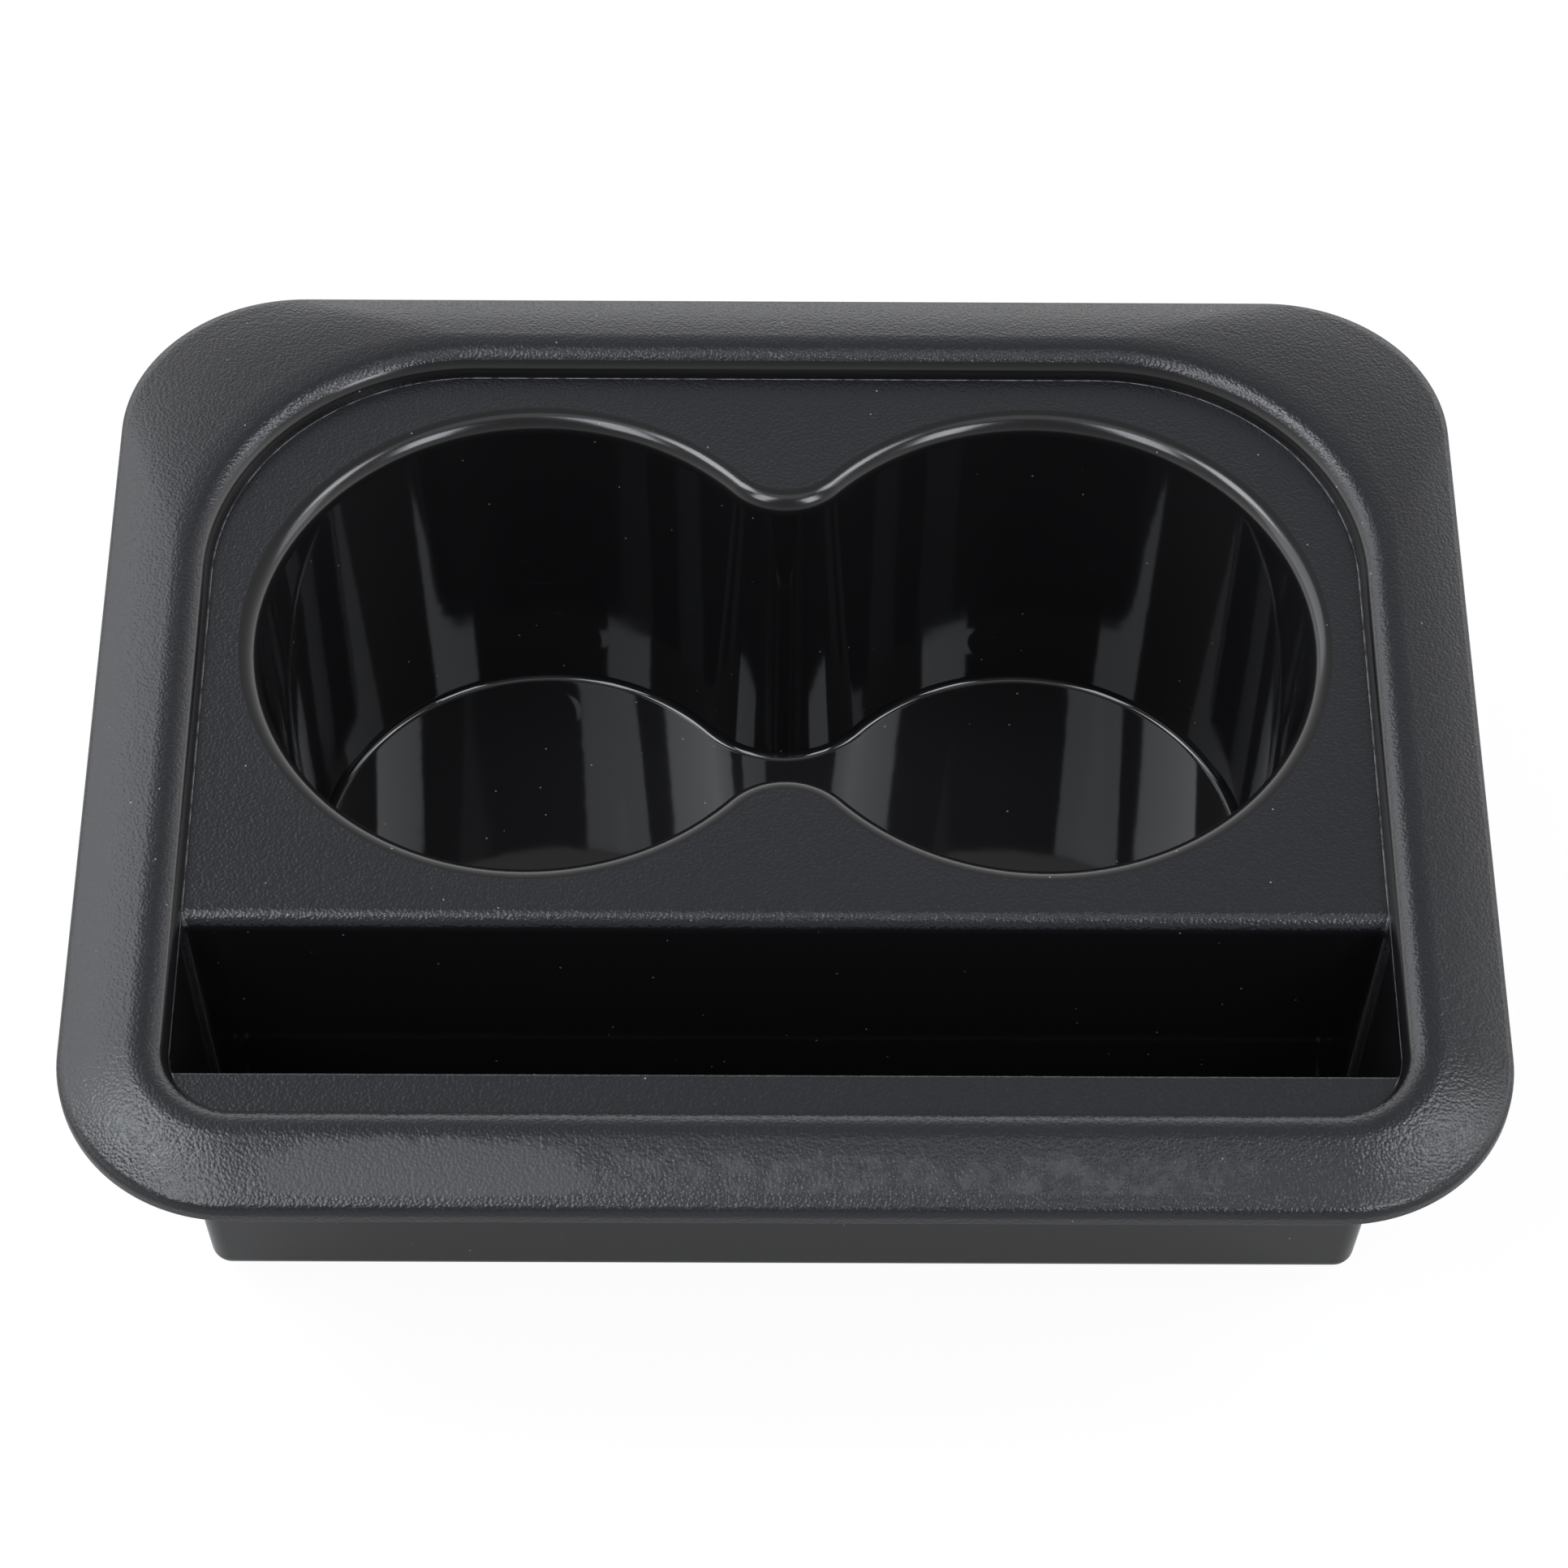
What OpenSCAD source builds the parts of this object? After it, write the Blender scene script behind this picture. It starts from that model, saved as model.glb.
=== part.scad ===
// Car cup holder tray, moulded in one piece
// A rolled rim hangs the tray in a cut-out, a shallow recess lies inside the rim,
// and two joined drafted wells and a cross slot hang below the recess floor.
// X runs across the car, +Y to the rear of the tray, +Z up.
// The origin is the middle of the footprint, on the underside of the well floors.

/* [Rim] */
// Width of the tray over the rim
overall_w = 200; // [197:1:240]
// Depth of the tray over the rim, front to rear
overall_d = 161; // [159:1:200]
// Width of the rim, from the recess wall to the outer lip
rim_w = 15.4; // [13:0.1:16]
// Corner radius of the outer lip
rim_corner_r = 25.4; // [22:0.1:28]
// Height of the rim's crown above the recess floor
rim_rise = 4; // [3:0.1:8]
// Radius of the bead where the recess wall turns over into the crown
bead_r = 3.8; // [2.6:0.1:3.9]
// Radius of the crown where it turns down into the slope
crown_r = 7; // [3:0.1:10]
// Fall of the rim's slope, in degrees
slope_angle = 18; // [12:1:24]
// Radius where the slope turns down into the lip
lip_r = 1.8; // [1.8:0.1:3]
// Height of the lip's upright edge
lip_edge = 1.4; // [0.4:0.1:3]

/* [Recess] */
// Corner radius of the recess at the rear
recess_rear_r = 37.8; // [26:0.1:44]

/* [Wells] */
// Distance between the two wells, centre to centre
well_pitch = 74; // [70:0.5:75]
// Diameter across a well's wall, drawn up to the recess floor
well_mouth_d = 80.1; // [76:0.1:81]
// Diameter across a well's wall at its floor
well_floor_d = 70.6; // [60:0.1:72]
// Depth of the wells below the recess floor
well_depth = 58.5; // [57:0.5:80]
// Distance from the recess's rear edge to the well centres
well_setback = 48.6; // [47:0.1:49]
// Radius of the nose between the wells, at the recess floor
neck_r = 8.8; // [6:0.1:12]
// Radius of the rounded edge round the well mouths
mouth_edge_r = 3; // [1:0.1:3.2]
// Radius between the well wall and its floor
well_fillet_r = 1.2; // [0.6:0.1:4]

/* [Slot] */
// Opening of the slot, front to rear
slot_d = 24.5; // [16:0.5:25]
// Depth of the slot below the recess floor
slot_depth = 55.3; // [30:0.1:56]
// Width of the ledge in front of the slot
ledge_d = 7; // [5:0.1:8]
// Draft of the slot's walls, in degrees
slot_draft = 2.5; // [0.5:0.1:4]
// Corner radius inside the slot, seen from above
slot_corner_r = 1.4; // [0.6:0.1:4]
// Radius between the slot's walls and its floor
slot_base_r = 1.2; // [0.6:0.1:4]
// Radius of the slot's rear top edge
slot_rear_edge_r = 2.6; // [1:0.1:3]
// Radius of the slot's front top edge
slot_front_edge_r = 0.6; // [0.3:0.1:1.5]

/* [Wall] */
// Wall thickness all over
wall = 1.6; // [1.2:0.1:1.7]

/* [Hidden] */

// Flat land on the crown, outside the bead
crown_land = 0.4;
// A well's wall runs this much into the nose beside it
nose_lap = 0.05;
// Steps round the bead, the crown, the lip, a well's floor edge, its mouth and the slot's base
bead_steps = 5;
crown_steps = 2;
lip_steps = 4;
fillet_steps = 3;
mouth_steps = 5;
base_steps = 3;
// Steps round a rear corner of the rim, and where its first one turns to, in degrees
corner_steps = 12;
corner_start = 3;
// The slot's ends, and its rounded top edges, stop this short of the recess wall
slot_end_gap = 0.3;
slot_edge_gap = 0.1;
// Thickness of a slice that a hull runs through
slice = 0.01;
// Overlap that keeps cuts clean
eps = 1;
// Facets round the slot's corners
corner_fn = 32;
// Facets round the turned shapes
round_fn = 120;

// Levels: recess floor and crown of the rim
floor_z = well_depth + wall;
crown_z = floor_z + rim_rise;

// The recess, measured at the foot of its wall
recess_x = overall_w / 2 - rim_w;
recess_y = overall_d / 2 - rim_w;
recess_front_r = rim_corner_r - rim_w;

// Section of the rim, as run out from the recess wall and height
crown_run = bead_r + crown_land;
bead_centre = [bead_r, crown_z - bead_r];
slope_len = (rim_w - crown_run - crown_r * sin(slope_angle) - lip_r * (1 - sin(slope_angle)))
    / cos(slope_angle);
crown_centre = [crown_run, crown_z - crown_r];
slope_end = crown_centre + crown_r * [sin(slope_angle), cos(slope_angle)]
    + slope_len * [cos(slope_angle), -sin(slope_angle)];
lip_centre = slope_end - lip_r * [sin(slope_angle), cos(slope_angle)];
lip_z = lip_centre[1] - lip_edge;

// Wells
well_x = well_pitch / 2;
well_y = recess_y - well_setback;
well_draft = atan((well_mouth_d - well_floor_d) / 2 / well_depth);

// Slot
slot_x = recess_x - slot_end_gap;
slot_front_y = -recess_y + ledge_d;
slot_rear_y = slot_front_y + slot_d;

// Run from a drafted wall to where its rounded top edge ends
function edge_run(edge_r, draft) = edge_r * (1 - sin(draft)) / cos(draft);

// Points on an arc, in order, the angles counted from +X
function arc_points(centre, radius, from, to, steps) = [
    for (i = [0:steps])
        let (turn = from + (to - from) * i / steps)
        centre + radius * [cos(turn), sin(turn)]
];

// The rim's skin as turns of [centre, radius, bend]: up over the bead, then down over
// the crown and the lip. A bend is counted from upright, inwards below zero
function rim_turns() = concat(
    [for (i = [0:bead_steps]) [bead_centre, bead_r, 90 * (i / bead_steps - 1)]],
    [for (i = [0:crown_steps]) [crown_centre, crown_r, slope_angle * i / crown_steps]],
    [for (i = [0:lip_steps])
        [lip_centre, lip_r, slope_angle + (90 - slope_angle) * i / lip_steps]]
);

// A section point is [run, inset, height]: its distance out is the run less the inset
function rim_point(turn, thick) = [
    turn[0][0] + turn[1] * sin(turn[2]),
    thick * sin(turn[2]),
    turn[0][1] + (turn[1] - thick) * cos(turn[2])
];

// The whole section: out along the skin, and back along its inside
function rim_section() = let (turns = rim_turns(), last = len(turns) - 1) concat(
    [[0, 0, floor_z - wall]],
    [for (turn = turns) rim_point(turn, 0)],
    [[rim_w, 0, lip_z], [rim_w, wall, lip_z]],
    [for (i = [last:-1:0]) rim_point(turns[i], wall)],
    [[0, -wall, floor_z - wall]]
);

// Radius of a rear corner at a run: parallel to the recess as far as the crown, then
// changing evenly from the wide corner of the recess to the tighter corner of the lip
function rear_corner_r(run) = run <= crown_run
    ? recess_rear_r + run
    : let (share = (run - crown_run) / (rim_w - crown_run))
      (recess_rear_r + crown_run) * (1 - share) + rim_corner_r * share;

// A section point carried round the right rear corner: from the plane where the recess
// begins to turn, along the straight that a tighter corner leaves, and round its bend
function rear_corner_point(p, k) = let (
    radius = rear_corner_r(p[0]) - p[1],
    straight = recess_rear_r + p[0] - rear_corner_r(p[0]),
    turn = corner_start + (90 - 2 * corner_start) * (k - 1) / (corner_steps - 2),
    bend = k == 0 ? [straight + radius, 0]
        : k == corner_steps ? [0, straight + radius]
        : [straight, straight] + radius * [cos(turn), sin(turn)]
) [recess_x - recess_rear_r + bend[0], recess_y - recess_rear_r + bend[1], p[2]];

// Rim at the right rear corner, lofted through its section, its ends closed between the
// skin and its inside
module rim_rear_corner() {
    section = rim_section();
    n = len(section);
    points = [
        for (k = [0:corner_steps])
            for (p = section)
                rear_corner_point(p, k)
    ];
    sides = [
        for (k = [0:corner_steps - 1])
            for (i = [0:n - 1])
                let (a = k * n + i, b = k * n + (i + 1) % n)
                each [[a, b + n, b], [a, a + n, b + n]]
    ];
    last = corner_steps * n;
    ends = [
        for (i = [0:n / 2 - 2])
            each [
                [i, i + 1, n - 2 - i, n - 1 - i],
                [last + n - 1 - i, last + n - 2 - i, last + i + 1, last + i]
            ]
    ];
    polyhedron(points = points, faces = concat(sides, ends));
}

// Rim section as a flat outline, let out by a radius for turning
module rim_outline(turn_r) {
    polygon([for (p = rim_section()) [turn_r + p[0] - p[1], p[2]]]);
}

// Straight stretch of the rim, its middle at the origin, its run towards +X
module rim_side(length) {
    translate([0, length / 2, 0])
        rotate([90, 0, 0])
            linear_extrude(length)
                rim_outline(0);
}

// Rolled rim: straight sides, turned front corners and lofted rear corners
module rim() {
    side_len = 2 * recess_y - recess_front_r - recess_rear_r;
    for (side = [0, 1])
        mirror([side, 0, 0]) {
            translate([recess_x, (recess_front_r - recess_rear_r) / 2, 0])
                rim_side(side_len);
            translate([recess_x - recess_front_r, -recess_y + recess_front_r, 0])
                rotate([0, 0, -90])
                    rotate_extrude(angle = 90, $fn = round_fn)
                        rim_outline(recess_front_r);
            rim_rear_corner();
        }
    translate([0, recess_y, 0])
        rotate([0, 0, 90])
            rim_side(2 * (recess_x - recess_rear_r));
    translate([0, -recess_y, 0])
        rotate([0, 0, -90])
            rim_side(2 * (recess_x - recess_front_r));
}

// Outline of the recess, let out parallel to itself
module recess_outline(run) {
    half_x = recess_x + run;
    half_y = recess_y + run;
    front_r = recess_front_r + run;
    rear_r = recess_rear_r + run;
    translate([-half_x, -half_y + front_r])
        square([2 * half_x, 2 * half_y - front_r - rear_r]);
    translate([-half_x + front_r, -half_y])
        square([2 * (half_x - front_r), front_r]);
    translate([-half_x + rear_r, half_y - rear_r])
        square([2 * (half_x - rear_r), rear_r]);
    for (side = [-1, 1]) {
        translate([side * (half_x - rear_r), half_y - rear_r])
            circle(r = rear_r, $fn = round_fn);
        translate([side * (half_x - front_r), -half_y + front_r])
            circle(r = front_r, $fn = round_fn);
    }
}

// A well's wall from its floor edge up, as [radius, height]: let out by a thickness
// for the outside, or with its rounded mouth for the inside
function well_wall(thick) = let (
    base_z = wall - thick,
    side = thick / cos(well_draft),
    fillet_r = well_fillet_r + thick,
    foot_r = well_floor_d / 2 + side - thick * tan(well_draft),
    fillet_centre = [foot_r - edge_run(fillet_r, well_draft), base_z + fillet_r],
    mouth_centre = [well_mouth_d / 2 + edge_run(mouth_edge_r, well_draft),
        floor_z - mouth_edge_r]
) concat(
    arc_points(fillet_centre, fillet_r, -90, -well_draft, fillet_steps),
    thick > 0
        ? [[well_mouth_d / 2 + side, floor_z]]
        : arc_points(mouth_centre, mouth_edge_r, 180 - well_draft, 90, mouth_steps)
);

// Two turned wells and the throat between them. A well's radius and that of the nose
// beside it add up to the same reach at every level, so the walls run on smoothly
module double_well(thick) {
    line = well_wall(thick);
    bottom_z = line[0][1];
    reach = well_mouth_d / 2 + edge_run(mouth_edge_r, well_draft) + neck_r;
    nose_y = sqrt(reach * reach - well_x * well_x);
    nose = [for (p = line) [reach + nose_lap - p[0], p[1]]];
    foot = nose[0];
    head = nose[len(nose) - 1];
    translate([0, well_y, 0]) {
        for (side = [-1, 1])
            translate([side * well_x, 0, 0])
                rotate_extrude($fn = round_fn)
                    polygon(concat([[0, bottom_z]], line, [[0, floor_z]]));
        difference() {
            translate([0, 0, bottom_z])
                linear_extrude(floor_z - bottom_z)
                    polygon([[-well_x, 0], [0, -nose_y], [well_x, 0], [0, nose_y]]);
            for (side = [-1, 1])
                translate([0, side * nose_y, 0])
                    rotate_extrude($fn = round_fn)
                        polygon(concat(
                            [[0, bottom_z - eps], foot - [0, eps]],
                            nose,
                            [head + [0, eps], [0, floor_z + eps]]
                        ));
        }
    }
}

// Slot box, drafted on all sides, with rounded corners; let out by a thickness
module slot_box(thick) {
    base_r = slot_base_r + thick;
    levels = concat(
        [[-thick / 2, 0]],
        [for (i = [0:base_steps])
            let (turn = 90 * i / base_steps)
            [-slot_depth - thick + base_r * (1 - cos(turn)), base_r * (1 - sin(turn))]]
    );
    hull()
        for (level = levels) {
            inset = -level[0] * tan(slot_draft) + level[1] - thick;
            corner_r = max(slot_corner_r + thick - level[1], slice);
            centre_x = slot_x - inset - corner_r;
            translate([0, 0, floor_z + level[0]])
                linear_extrude(slice)
                    for (x = [-centre_x, centre_x])
                        for (y = [slot_front_y + inset + corner_r, slot_rear_y - inset - corner_r])
                            translate([x, y])
                                circle(r = corner_r, $fn = corner_fn);
        }
}

// Cutter that rounds a top edge of the slot, with its panel towards +Y
module slot_edge_cut(edge_r, steps) {
    centre = [edge_run(edge_r, slot_draft), -edge_r];
    touch_z = centre[1] + edge_r * sin(slot_draft);
    half_len = recess_x - slot_edge_gap;
    translate([-half_len, 0, floor_z])
        rotate([90, 0, 90])
            linear_extrude(2 * half_len)
                polygon(concat(
                    arc_points(centre, edge_r, 90, 180 - slot_draft, steps),
                    [[-slot_corner_r, touch_z], [-slot_corner_r, eps], [centre[0], eps]]
                ));
}

// Recess floor with the wells and the slot, all cut out from above
module pan() {
    difference() {
        union() {
            translate([0, 0, floor_z - wall])
                linear_extrude(wall)
                    recess_outline(wall / 2);
            double_well(wall);
            slot_box(wall);
        }
        double_well(0);
        slot_box(0);
        translate([0, slot_rear_y, 0])
            slot_edge_cut(slot_rear_edge_r, mouth_steps);
        translate([0, slot_front_y, 0])
            mirror([0, 1, 0])
                slot_edge_cut(slot_front_edge_r, base_steps);
    }
}

module cup_holder_tray() {
    color("#1d1d1f")
        union() {
            rim();
            pan();
        }
}

cup_holder_tray();
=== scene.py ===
# %% [markdown]
# A cup holder tray for a car console, moulded in one piece of black plastic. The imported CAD
# model gives its size and its place. This script models the same moulding again as one smooth
# mesh, with the small radii and the surface finishes that a moulding tool leaves, and replaces
# the CAD node with it. The tray's lengths below are in millimetres until they are put into a
# mesh or a node. The floor's and the lamps' are in metres.

# %% Load the frame
import math

import bmesh
import bpy
from mathutils import Matrix, Vector
from mathutils.geometry import tessellate_polygon


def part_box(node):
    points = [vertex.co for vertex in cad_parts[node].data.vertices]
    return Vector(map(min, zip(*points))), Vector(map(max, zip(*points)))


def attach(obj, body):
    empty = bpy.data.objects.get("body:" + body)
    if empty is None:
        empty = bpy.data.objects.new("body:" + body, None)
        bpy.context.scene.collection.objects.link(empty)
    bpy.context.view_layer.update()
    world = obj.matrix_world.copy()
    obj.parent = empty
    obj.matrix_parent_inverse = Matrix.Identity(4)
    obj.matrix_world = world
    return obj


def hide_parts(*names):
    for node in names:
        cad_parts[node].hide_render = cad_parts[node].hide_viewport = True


MM = 0.001

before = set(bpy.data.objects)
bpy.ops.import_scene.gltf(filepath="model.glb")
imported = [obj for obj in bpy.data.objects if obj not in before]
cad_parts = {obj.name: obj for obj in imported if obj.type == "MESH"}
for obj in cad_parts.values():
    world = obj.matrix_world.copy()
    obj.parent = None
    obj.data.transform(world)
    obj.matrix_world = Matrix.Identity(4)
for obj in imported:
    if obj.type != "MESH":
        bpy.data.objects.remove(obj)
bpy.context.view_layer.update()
tray_low, tray_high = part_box("cup_holder_tray")
overall_w = (tray_high.x - tray_low.x) / MM
overall_d = (tray_high.y - tray_low.y) / MM
crown_z = tray_high.z / MM
print(f"tray {overall_w:.1f} x {overall_d:.1f} x {crown_z:.1f} mm")

# %% [markdown]
# The camera comes first, because every later choice is judged through it. The photograph was
# taken from the front, 55 degrees down, with a fairly long lens: the tray narrows towards the
# back by only an eighth. The lens, distance and tilt were fitted to the tray's own outlines, so
# the camera is written as an aim point and the turns away from a level front view.

# %% Camera
AIM = Vector((-0.25, -9.85, 60.1)) * MM
AIM_DISTANCE = 664.7 * MM
ELEVATION = math.radians(55.2)
AZIMUTH = math.radians(-0.58)
ROLL = math.radians(0.70)
LENS = 106.9
SENSOR_W = 36

camera_data = bpy.data.cameras.new("camera")
camera_data.lens = LENS
camera_data.sensor_width = SENSOR_W
camera = bpy.data.objects.new("camera", camera_data)
bpy.context.scene.collection.objects.link(camera)
turn = (
    Matrix.Rotation(AZIMUTH, 4, "Z")
    @ Matrix.Rotation(math.pi / 2 - ELEVATION, 4, "X")
    @ Matrix.Rotation(ROLL, 4, "Z")
)
camera.matrix_world = Matrix.Translation(AIM) @ turn @ Matrix.Translation((0, 0, AIM_DISTANCE))
bpy.context.scene.camera = camera
print(f"camera {LENS} mm at {[round(c, 3) for c in camera.matrix_world.translation]} m")

# %% [markdown]
# The tray's dimensions repeat the CAD's, apart from those that the frame already gives. The
# mesh has more steps round each radius than the CAD, and two radii that are too small to matter
# there: at the foot of the recess wall and at the rim's lower edge. The rim's slope also bulges
# by 0.2 mm, because its sheen in the photograph fades from the edge to the crown, as it does on
# a gentle curve.

# %% Dimensions of the tray
WALL = 1.6
RIM_W = 15.4
RIM_RISE = 4.0
RIM_CORNER_R = 25.4
RECESS_REAR_R = 37.8
BEAD_R = 3.8
CROWN_R = 7.0
CROWN_LAND = 0.4
SLOPE = math.radians(18)
SLOPE_BEND = math.radians(6)
LIP_R = 1.8
LIP_EDGE = 1.4
FOOT_R = 0.05
RIM_EDGE_R = 0.3

floor_z = crown_z - RIM_RISE
recess_x = overall_w / 2 - RIM_W
recess_y = overall_d / 2 - RIM_W
recess_front_r = RIM_CORNER_R - RIM_W
crown_run = BEAD_R + CROWN_LAND
print(f"recess {2 * recess_x:.1f} x {2 * recess_y:.1f} mm, its floor at {floor_z:.1f} mm")

# %% [markdown]
# One moulding wants few finishes. The tool's cavity was etched with a fine pebble grain where
# hands and eyes go, and polished in the wells and the slot, so that the tray pulls out of the
# tool. The recess wall and the wells' mouth lie between the two and are satin. All three are the
# same black polypropylene. Each material is a node tree, built with one helper that adds a node
# with its settings and its links.

# %% Helper for node trees
def add(tree, kind, inputs=None, **settings):
    """Adds a node: inputs are values, sockets, or nodes whose first output is meant."""
    node = tree.nodes.new(kind)
    for name, value in settings.items():
        setattr(node, name, value)
    for key, value in (inputs or {}).items():
        if isinstance(value, bpy.types.Node):
            value = value.outputs[0]
        if isinstance(value, bpy.types.NodeSocket):
            tree.links.new(value, node.inputs[key])
        else:
            node.inputs[key].default_value = value
    return node


def linear(hex_colour):
    """An sRGB hex colour as the linear RGBA that shaders take."""
    parts = [int(hex_colour[i:i + 2], 16) / 255 for i in (1, 3, 5)]
    return [p / 12.92 if p <= 0.04045 else ((p + 0.055) / 1.055) ** 2.4 for p in parts] + [1]


def new_material(name):
    """An empty material with its Principled shader linked to the output."""
    material = bpy.data.materials.new(name)
    material.use_nodes = True
    tree = material.node_tree
    tree.nodes.clear()
    shader = add(tree, "ShaderNodeBsdfPrincipled")
    add(tree, "ShaderNodeOutputMaterial", {"Surface": shader})
    return material, tree, shader


# %% [markdown]
# The grained plastic has pebbles about half a millimetre across and a few hundredths high. A
# Voronoi pattern in Object coordinates gives the pebbles at their real pitch, and a noise makes
# them uneven. The grain scatters light, so the surface looks dull and sparkles where it turns
# towards a lamp. Its black is a touch bluer than the smooth plastic's, as the photograph shows.

# %% Grained black polypropylene
GRAIN_PITCH = 0.48
GRAIN_HEIGHT = 0.05
GRAIN_ROUGHNESS = 0.27
GRAINED_BLACK = "#111216"
BLACK = "#121213"
PLASTIC_IOR = 1.49

grained, tree, shader = new_material("grained_black_polypropylene")
place = add(tree, "ShaderNodeTexCoord").outputs["Object"]
pebbles = add(
    tree, "ShaderNodeTexVoronoi",
    {"Vector": place, "Scale": 1 / (GRAIN_PITCH * MM)},
)
uneven = add(
    tree, "ShaderNodeTexNoise",
    {"Vector": place, "Scale": 1 / (GRAIN_PITCH * MM), "Detail": 2},
)
relief = add(tree, "ShaderNodeMath", {0: pebbles, 1: uneven}, operation="SUBTRACT")
bump = add(
    tree, "ShaderNodeBump", {"Height": relief, "Distance": GRAIN_HEIGHT * MM, "Strength": 1.0},
    invert=True,
)
shader.inputs["IOR"].default_value = PLASTIC_IOR
tree.links.new(bump.outputs[0], shader.inputs["Normal"])
print("grain pitch", GRAIN_PITCH, "mm")

# %% [markdown]
# Two marks sit on the grain: wear, and a painted highlight with dust. The front of the rim is
# scuffed, where the tray was slid and handled: the pebbles are rubbed to a lighter, duller patch
# with ragged edges, strong on the left and faint towards the right. And a fine light grey line
# lies in the corner round the recess floor: a painted highlight of the small fillet there, with
# some dust in it. Both are masks over the grained plastic. The scuffs are a box along the rim
# broken up by noise, and each side of the box fades in from its first place to its second. The
# painted line follows the distance to the recess wall, which is a rounded rectangle.

# %% Scuffs on the front of the rim
SCUFFED = "#202024"
SCUFF_ROUGHNESS = 0.42
SCUFF_LEFT = (-80.0, -64.0)
SCUFF_FAINT = (-35.0, -26.0)
SCUFF_RIGHT = (78.0, 60.0)
SCUFF_REAR = (-67.0, -73.5)
SCUFF_FRONT = (-79.4, -77.8)
FAINT_SHARE = 0.6
SCUFF_BLOT = 2.6
SCUFF_START, SCUFF_FULL = 1.04, 1.25


def ramp(value, start, end, low=0.0, high=1.0):
    """A place turned into a share from low to high, between two places in millimetres."""
    return add(
        tree, "ShaderNodeMapRange",
        {"Value": value, "From Min": start * MM, "From Max": end * MM, "To Min": low, "To Max": high},
    )


at = add(tree, "ShaderNodeSeparateXYZ", {0: place}).outputs
masks = [
    ramp(at["X"], *SCUFF_LEFT),
    ramp(at["X"], *SCUFF_FAINT, 1.0, FAINT_SHARE),
    ramp(at["X"], *SCUFF_RIGHT),
    ramp(at["Y"], *SCUFF_REAR),
    ramp(at["Y"], *SCUFF_FRONT),
]
within = masks[0]
for mask in masks[1:]:
    within = add(tree, "ShaderNodeMath", {0: within, 1: mask}, operation="MULTIPLY")
blots = add(
    tree, "ShaderNodeTexNoise",
    {"Vector": place, "Scale": 1 / (SCUFF_BLOT * MM), "Detail": 5, "Roughness": 0.7},
)
blotted = add(tree, "ShaderNodeMath", {0: blots, 1: within}, operation="ADD")
scuffs = add(
    tree, "ShaderNodeMapRange",
    {"Value": blotted, "From Min": SCUFF_START, "From Max": SCUFF_FULL},
)
roughness = add(
    tree, "ShaderNodeMapRange",
    {"Value": scuffs, "To Min": GRAIN_ROUGHNESS, "To Max": SCUFF_ROUGHNESS},
)
worn = add(
    tree, "ShaderNodeMix",
    {0: scuffs, 6: linear(GRAINED_BLACK), 7: linear(SCUFFED)}, data_type="RGBA",
)
tree.links.new(roughness.outputs[0], shader.inputs["Roughness"])
print(f"scuffs from x = {SCUFF_LEFT[0]:.0f} to {SCUFF_RIGHT[0]:.0f} mm")

# %% Painted highlight and dust along the foot of the recess wall
# Grey for the dust specks and for the painted highlight along the foot of the recess wall
DUST_AND_HIGHLIGHT_GREY = "#77777a"
FOOT_HIGHLIGHT_W = 0.16
FOOT_HIGHLIGHT_GAPS = 2.5
GAP_START, GAP_END = 0.4, 0.55
HIGHLIGHT_IN_GAPS = 0.15

is_rear = add(tree, "ShaderNodeMath", {0: at["Y"], 1: 0.0}, operation="GREATER_THAN")
foot_r = add(
    tree, "ShaderNodeMapRange",
    {"Value": is_rear, "To Min": recess_front_r * MM, "To Max": RECESS_REAR_R * MM},
)
beyond = []
for axis, half in (("X", recess_x), ("Y", recess_y)):
    side = add(tree, "ShaderNodeMath", {0: at[axis]}, operation="ABSOLUTE")
    side = add(tree, "ShaderNodeMath", {0: side, 1: half * MM}, operation="SUBTRACT")
    side = add(tree, "ShaderNodeMath", {0: side, 1: foot_r}, operation="ADD")
    beyond.append(add(tree, "ShaderNodeMath", {0: side, 1: 0.0}, operation="MAXIMUM"))
out = add(tree, "ShaderNodeCombineXYZ", {0: beyond[0], 1: beyond[1]})
out = add(tree, "ShaderNodeVectorMath", {0: out}, operation="LENGTH").outputs["Value"]
from_wall = add(tree, "ShaderNodeMath", {0: foot_r, 1: out}, operation="SUBTRACT")
half_line = FOOT_HIGHLIGHT_W / 2 * MM
near_wall = add(
    tree, "ShaderNodeMath", {0: from_wall, 1: half_line, 2: half_line}, operation="COMPARE",
)
on_floor = add(
    tree, "ShaderNodeMath", {0: at["Z"], 1: floor_z * MM, 2: half_line}, operation="COMPARE",
)
gaps = add(tree, "ShaderNodeTexNoise", {"Vector": place, "Scale": 1 / (FOOT_HIGHLIGHT_GAPS * MM), "Detail": 3})
gaps = add(
    tree, "ShaderNodeMapRange",
    {"Value": gaps, "From Min": GAP_START, "From Max": GAP_END, "To Min": HIGHLIGHT_IN_GAPS},
)
# A grey line painted on the floor along the foot of the recess wall stands in for the highlight of the
# small foot fillet, with some dust. Noise breaks it into gaps.
dust_and_highlight = add(tree, "ShaderNodeMath", {0: near_wall, 1: on_floor}, operation="MULTIPLY")
dust_and_highlight = add(tree, "ShaderNodeMath", {0: dust_and_highlight, 1: gaps}, operation="MULTIPLY")
with_dust_and_highlight = add(
    tree, "ShaderNodeMix", {0: dust_and_highlight, 6: worn.outputs[2], 7: linear(DUST_AND_HIGHLIGHT_GREY)}, data_type="RGBA",
)
print(f"dust line {FOOT_HIGHLIGHT_W} mm wide")

# %% [markdown]
# Loose specks of dust lie all over the tray and show most on the black, polished places. A
# speck is where a surface cuts one of the balls of a wide Voronoi pattern, so specks are few,
# of uneven size, and stay in place from every view.

# %% Dust specks
SPECK_SPACING = 4.2
SPECK_R = 0.17


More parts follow.
